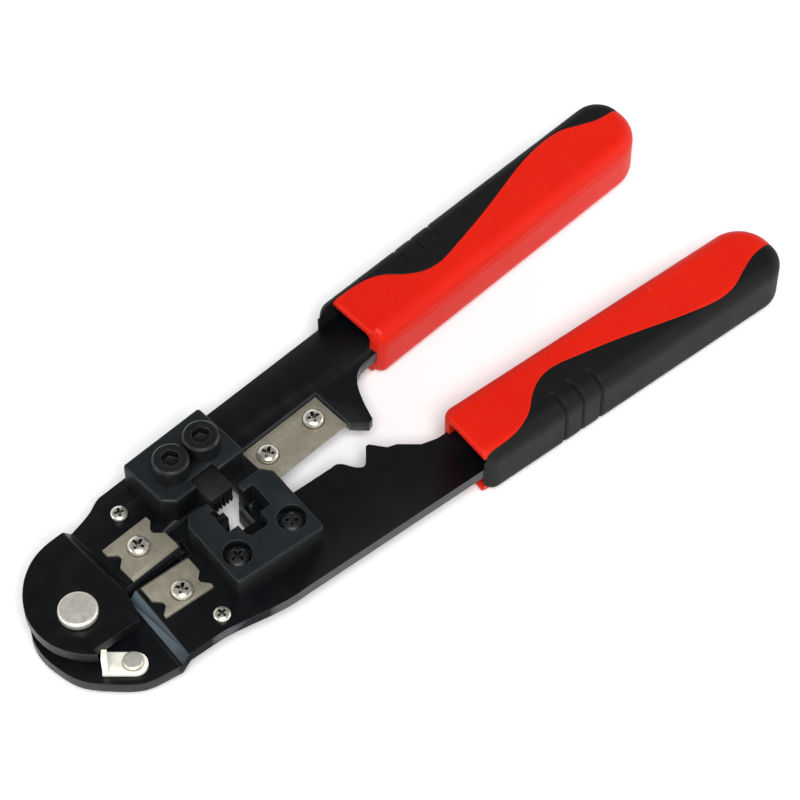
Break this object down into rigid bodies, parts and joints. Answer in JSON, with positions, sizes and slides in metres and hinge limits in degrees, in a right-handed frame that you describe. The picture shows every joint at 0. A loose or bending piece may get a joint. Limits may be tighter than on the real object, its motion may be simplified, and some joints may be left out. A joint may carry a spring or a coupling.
{
  "type": "modular plug crimping tool",
  "caption": "Hand crimping tool for modular network plugs: two pivoted steel arms with a plug die and punch, a wire cutter, a stripper and two-colour grips.",
  "frame": {"origin": "on the axis of the pivot rivet, at the flat bottom of its foot, level with the underside of the grips", "axes": "+X runs from the pivot along the fixed arm to the grips, +Y points towards the moving arm, +Z is the pivot axis, up out of the die side"},
  "size_m": [0.196, 0.067, 0.0226],
  "materials": {
    "arm_paint": "satin dark blue-black coating",
    "die_steel": "matt dark grey coating",
    "tool_steel": "browned hardened steel",
    "blade_steel": "ground steel",
    "screw_steel": "zinc plated",
    "black_oxide_steel": "black oxide",
    "rivet_nickel": "satin nickel",
    "spring_steel": "drawn wire",
    "latch_zinc": "dull yellowish zinc",
    "grip_red": "satin moulded plastic",
    "grip_black": "soft matt overmould"
  },
  "bodies": {
    "fixed": {"arm_fixed": "arm_paint", "die_block": "die_steel", "lower_die": "die_steel", "die_screws": "screw_steel", "strip_blade_fixed": "blade_steel", "strip_screw_fixed": "screw_steel", "stop_plate_fixed": "arm_paint", "stop_screw_fixed": "screw_steel", "pivot_rivet": "rivet_nickel", "pivot_spacer": "blade_steel", "torsion_spring": "spring_steel", "latch_rivet": "rivet_nickel", "grip_shell_fixed": "grip_red", "grip_sleeve_fixed": "grip_black"},
    "moving": {"arm_moving": "arm_paint", "punch_block": "die_steel", "punch_cap_screws": "black_oxide_steel", "crimp_punch": "tool_steel", "strip_blade_moving": "blade_steel", "strip_screw_moving": "screw_steel", "stop_plate_moving": "arm_paint", "stop_screw_moving": "screw_steel", "cutter_blade": "blade_steel", "cutter_screws": "screw_steel", "grip_shell_moving": "grip_red", "grip_sleeve_moving": "grip_black"},
    "latch": {"latch_clip": "latch_zinc"}
  },
  "joints": [
    {"name": "handle_hinge", "type": "hinge", "parent": "fixed", "child": "moving", "pos_m": [0, 0, 0.008], "axis": [0, 0, 1], "range_deg": [-5.2, 0], "stiffness_Nm_per_rad": 1.2, "springref_deg": 20.05},
    {"name": "latch_hinge", "type": "hinge", "parent": "fixed", "child": "latch", "pos_m": [0.0038, -0.0147, 0.007], "axis": [0, 0, 1], "range_deg": [-15, 0]}
  ]
}
